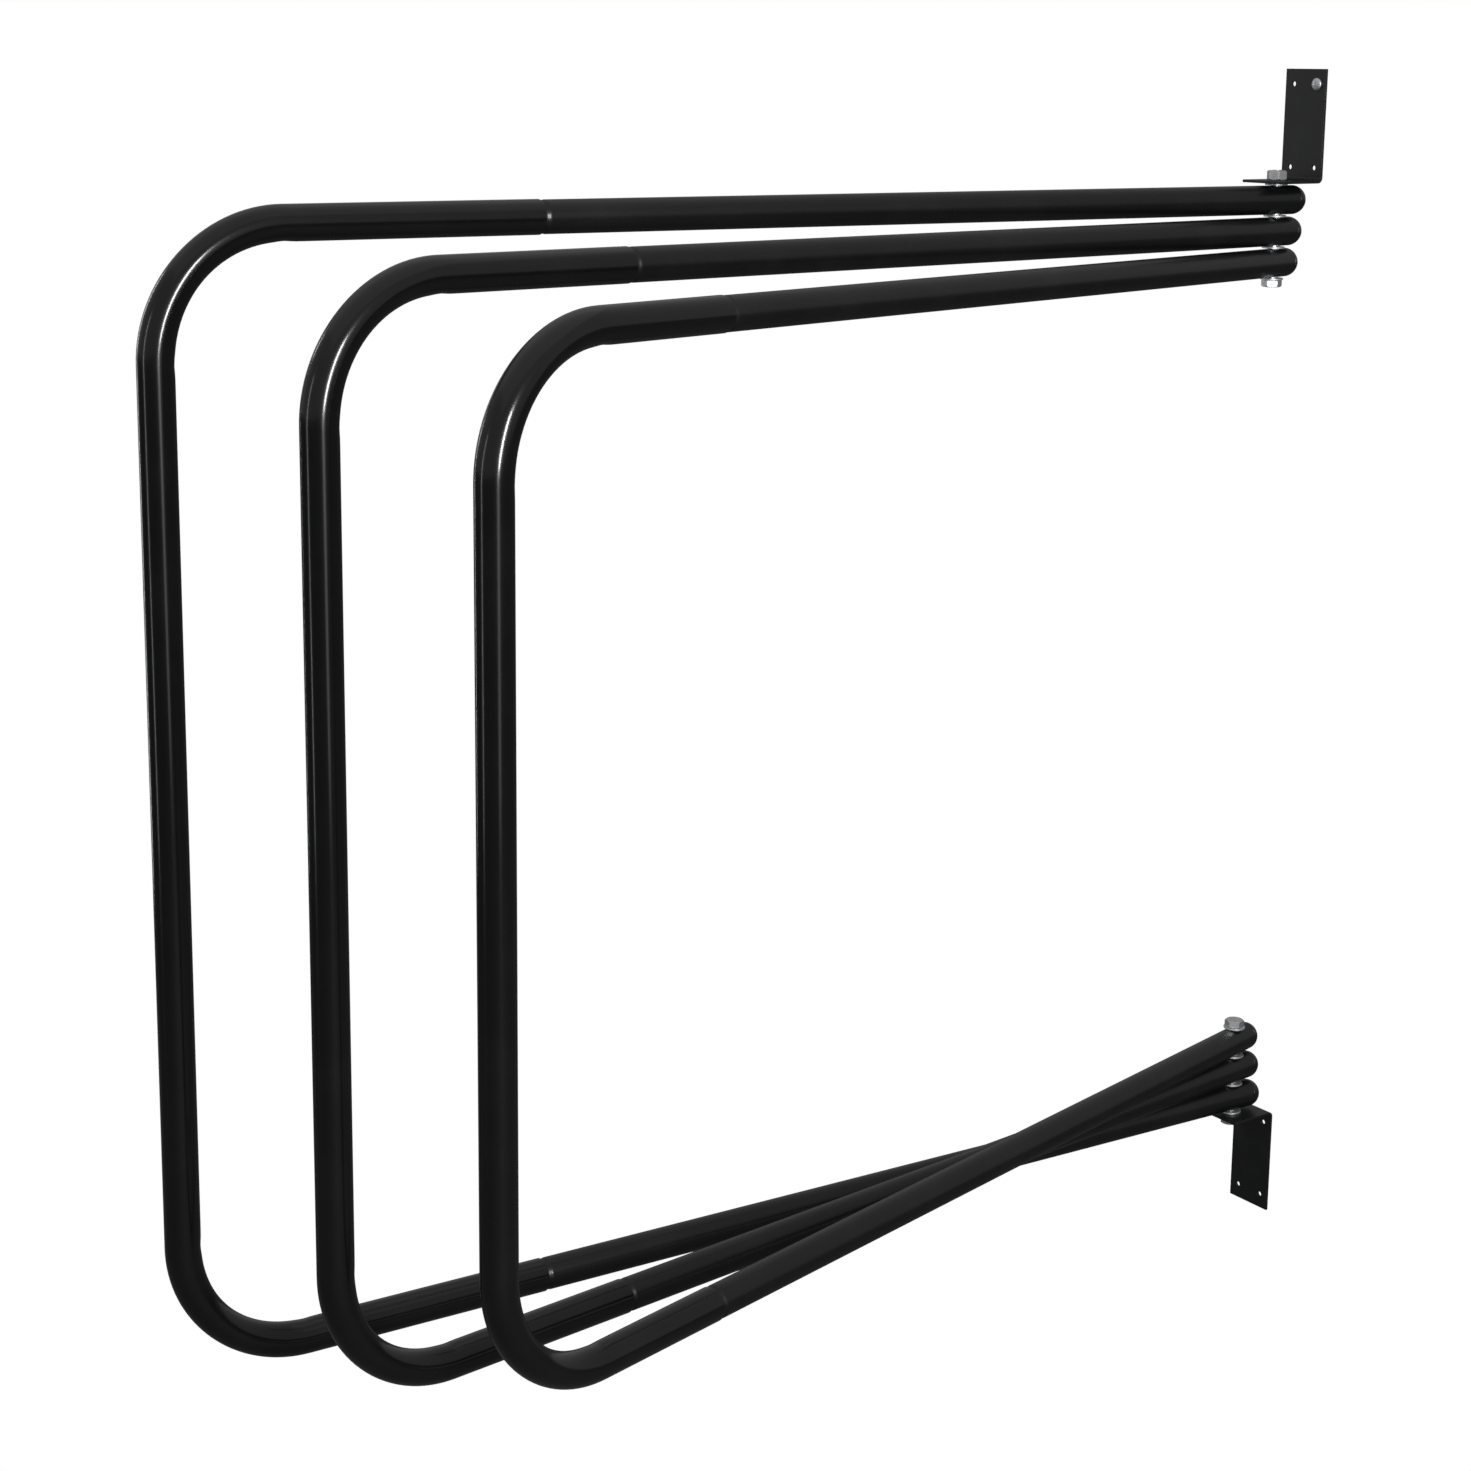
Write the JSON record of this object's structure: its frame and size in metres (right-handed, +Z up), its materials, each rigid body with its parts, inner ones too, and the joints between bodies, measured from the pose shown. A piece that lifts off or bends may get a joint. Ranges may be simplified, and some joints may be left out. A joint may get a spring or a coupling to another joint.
{
  "type": "swing-arm wall rack",
  "caption": "Wall rack of nested C-shaped steel tube arms that swing sideways on shared upright pivot bolts between an upper and a lower wall bracket, for hanging rugs, blankets or straps.",
  "frame": {"origin": "centre of the upper wall bracket's back face, on the wall", "axes": "+Z up, +Y into the wall, so the rack stands out towards -Y; +X to the right as seen facing the wall"},
  "size_m": [0.3658, 1.3148, 1.291],
  "materials": {
    "black_powder_coat": "gloss black powder coat",
    "black_plastic": "semi-gloss black",
    "zinc_plate": "bright zinc plate"
  },
  "bodies": {
    "wall_frame": {"upper_wall_bracket": "black_powder_coat", "upper_pivot_bolt": "zinc_plate", "upper_pivot_nut": "zinc_plate", "upper_washer_1": "zinc_plate", "upper_washer_2": "zinc_plate", "upper_washer_3": "zinc_plate", "upper_washer_4": "zinc_plate", "lower_wall_bracket": "black_powder_coat", "lower_pivot_bolt": "zinc_plate", "lower_pivot_nut": "zinc_plate", "lower_washer_1": "zinc_plate", "lower_washer_2": "zinc_plate", "lower_washer_3": "zinc_plate", "lower_washer_4": "zinc_plate", "wall_screw": "zinc_plate"},
    "outer_arm": {"outer_arm_bent_tube": "black_powder_coat", "outer_arm_upper_tube": "black_powder_coat", "outer_arm_lower_tube": "black_powder_coat", "outer_arm_upper_end_plug": "black_plastic", "outer_arm_lower_end_plug": "black_plastic"},
    "middle_arm": {"middle_arm_bent_tube": "black_powder_coat", "middle_arm_upper_tube": "black_powder_coat", "middle_arm_lower_tube": "black_powder_coat", "middle_arm_upper_end_plug": "black_plastic", "middle_arm_lower_end_plug": "black_plastic"},
    "inner_arm": {"inner_arm_bent_tube": "black_powder_coat", "inner_arm_upper_tube": "black_powder_coat", "inner_arm_lower_tube": "black_powder_coat", "inner_arm_upper_end_plug": "black_plastic", "inner_arm_lower_end_plug": "black_plastic"}
  },
  "joints": [
    {"name": "outer_arm_swing", "type": "hinge", "parent": "wall_frame", "child": "outer_arm", "pos_m": [0, -0.0398, -0.5855], "axis": [0, 0, 1], "range_deg": [-87, 93]},
    {"name": "middle_arm_swing", "type": "hinge", "parent": "wall_frame", "child": "middle_arm", "pos_m": [0, -0.0398, -0.5855], "axis": [0, 0, 1], "range_deg": [-96, 84]},
    {"name": "inner_arm_swing", "type": "hinge", "parent": "wall_frame", "child": "inner_arm", "pos_m": [0, -0.0398, -0.5855], "axis": [0, 0, 1], "range_deg": [-103.5, 76.5]}
  ]
}
